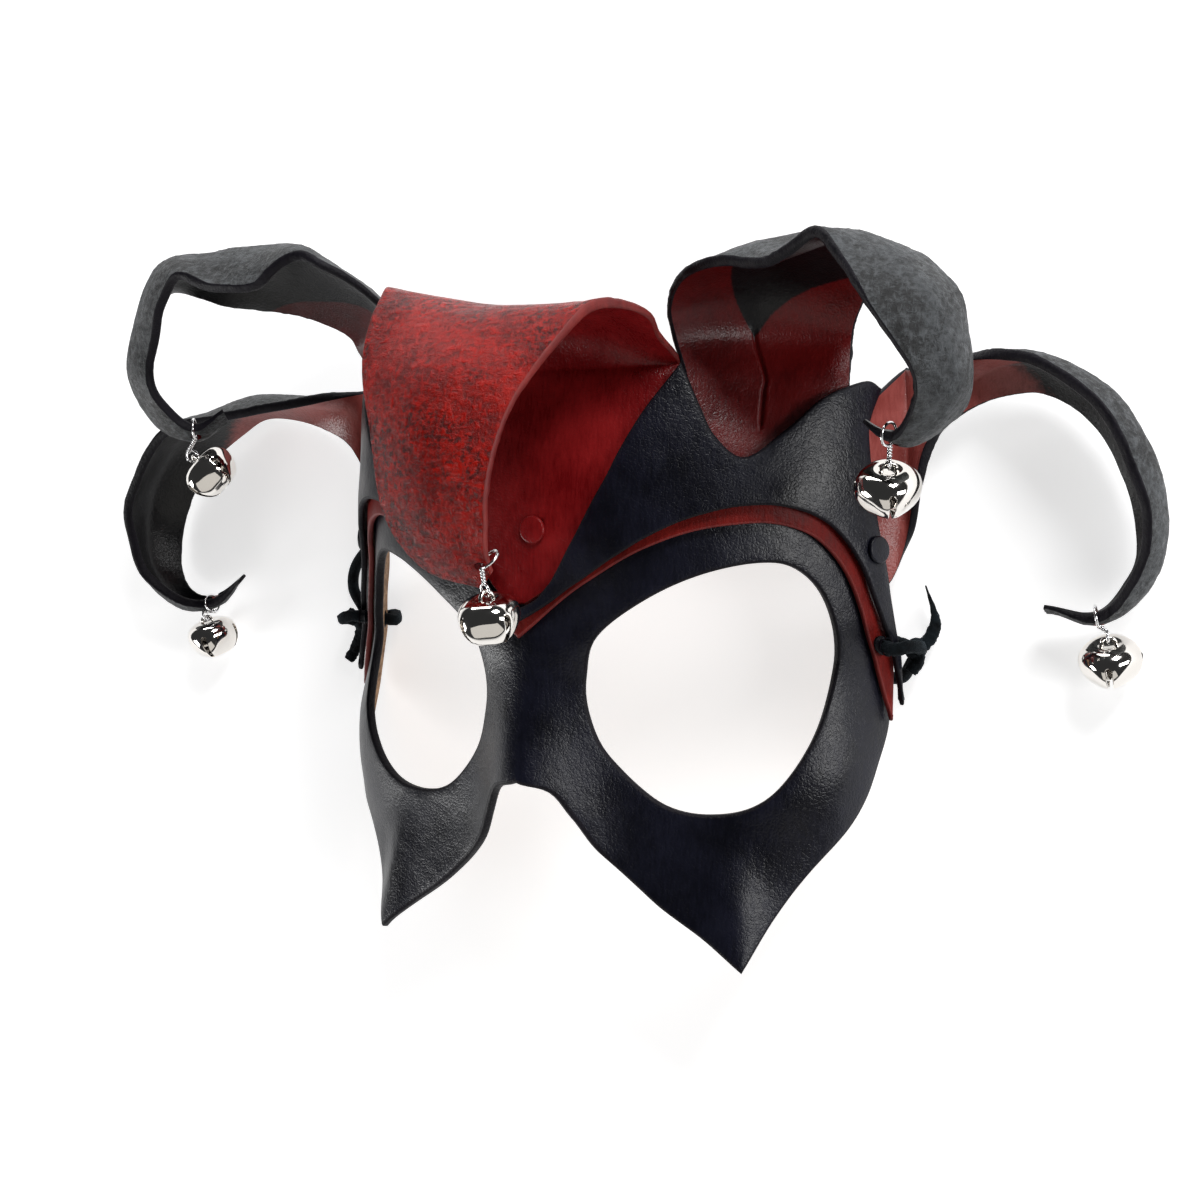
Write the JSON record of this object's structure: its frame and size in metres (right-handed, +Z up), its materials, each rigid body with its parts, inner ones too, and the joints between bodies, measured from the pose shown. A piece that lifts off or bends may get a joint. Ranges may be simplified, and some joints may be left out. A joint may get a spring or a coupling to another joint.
{
  "type": "leather jester mask",
  "caption": "Moulded leather half mask for the upper face with curled, belled jester horns and suede tie laces, lying on its back.",
  "frame": {"origin": "centre of the bounding box's underside without the free laces, on the surface that the mask lies on", "axes": "+X towards the viewer's right across the face, +Y towards the forehead, +Z up, out of the face"},
  "size_m": [0.2916, 0.1766, 0.0946],
  "materials": {
    "black_leather": "moulded, dyed black, slightly glossy",
    "red_leather": "moulded, dyed dark red with black shading",
    "nickel": "polished nickel plate",
    "silver_wire": "bright wire",
    "red_rivet": "lacquered cap, dyed with the leather",
    "black_rivet": "lacquered cap, dyed with the leather",
    "suede": "napped suede lace"
  },
  "bodies": {
    "root": {"eye_mask": "black_leather", "brow_band": "red_leather", "crown": "black_leather", "horn_center": "red_leather", "wire_center": "silver_wire", "bell_center": "nickel", "horn_upper_right": "black_leather", "wire_upper_right": "silver_wire", "bell_upper_right": "nickel", "horn_upper_left": "black_leather", "wire_upper_left": "silver_wire", "bell_upper_left": "nickel", "horn_lower_right": "black_leather", "wire_lower_right": "silver_wire", "bell_lower_right": "nickel", "horn_lower_left": "black_leather", "wire_lower_left": "silver_wire", "bell_lower_left": "nickel", "rivet_center": "red_rivet", "rivet_right": "black_rivet", "rivet_left": "black_rivet", "tie_right": "suede", "lace_right": "suede", "lace_coil_right": "suede", "tie_left": "suede", "lace_left": "suede", "lace_coil_left": "suede"}
  },
  "joints": []
}
